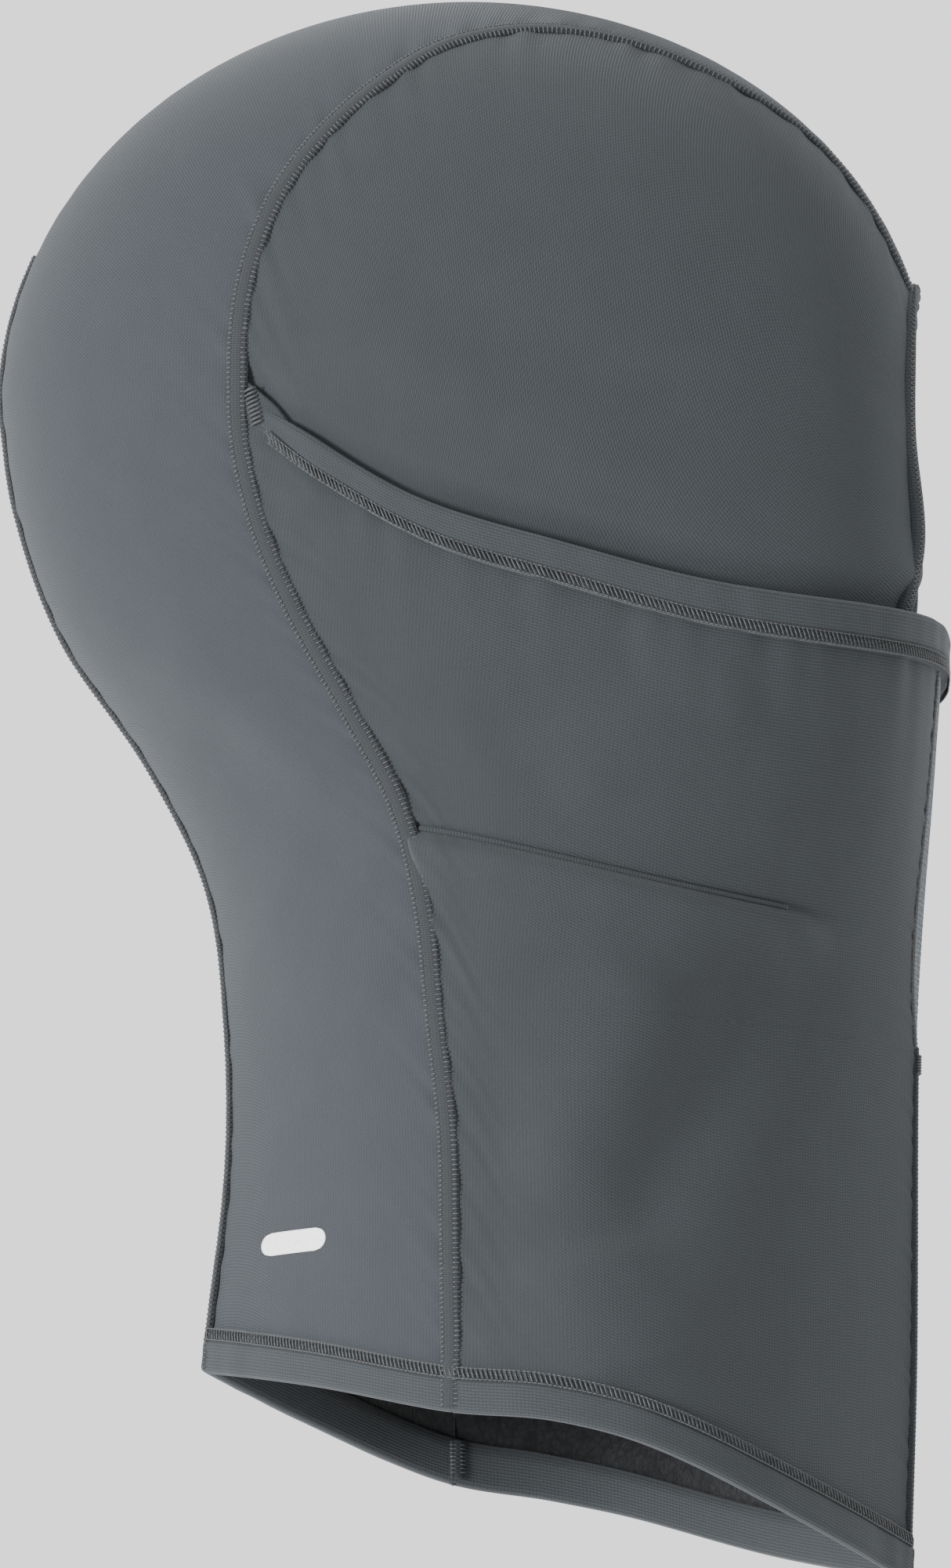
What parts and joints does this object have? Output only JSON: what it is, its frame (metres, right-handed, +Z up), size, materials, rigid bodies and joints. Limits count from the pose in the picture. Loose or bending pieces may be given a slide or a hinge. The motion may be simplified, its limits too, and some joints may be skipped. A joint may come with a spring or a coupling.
{
  "type": "balaclava",
  "caption": "Sewn stretch-knit balaclava: hood with a face opening, pull-down face mask with a mesh breathing panel, rolled mask edge and a long shaped neck with a hemmed edge.",
  "frame": {"origin": "middle of the head cavity, on the centre plane, level with the tops of the ears", "axes": "+Z up to the crown, -Y the way the face looks, -X the wearer's right side"},
  "size_m": [0.1568, 0.2098, 0.3508],
  "materials": {
    "hood_knit": "matte",
    "mask_knit": "matte",
    "hem_knit": "matte",
    "thread": "satin",
    "mesh_knit": "matte",
    "elastic": "matte",
    "print": "matte",
    "label": "satin"
  },
  "bodies": {
    "hood": {"crown_back_panel_right": "hood_knit", "crown_back_panel_left": "hood_knit", "cheek_panel_right": "hood_knit", "cheek_panel_left": "hood_knit", "neck_panel_right": "mask_knit", "neck_panel_left": "mask_knit", "face_opening_hem": "hem_knit", "face_hem_stitching": "thread", "main_seam_stitching_right": "thread", "main_seam_stitching_left": "thread", "centre_back_stitching": "thread", "centre_front_stitching": "thread", "neck_hem": "hem_knit", "neck_hem_stitching": "thread", "dart_stitching_right": "thread", "dart_stitching_left": "thread", "mask_corner_bartack_right": "thread", "mask_corner_bartack_left": "thread", "mesh_tip_bartack": "thread", "print_mark": "print", "care_label": "label"},
    "mask": {"mask_panel_right": "mask_knit", "mask_panel_left": "mask_knit", "mesh_panel": "mesh_knit", "mesh_seam_stitching_right": "thread", "mesh_seam_stitching_left": "thread", "mask_edge_hem": "hem_knit", "mask_hem_stitching": "thread", "mask_edge_elastic": "elastic"}
  },
  "joints": [
    {"name": "mask_pull_down", "type": "hinge", "parent": "hood", "child": "mask", "pos_m": [0, 0.0496, -0.0105], "axis": [1, 0, 0], "range_deg": [0, 26], "deforming": ["mask_panel_right", "mask_panel_left", "mesh_panel", "mesh_seam_stitching_right", "mesh_seam_stitching_left"]}
  ]
}
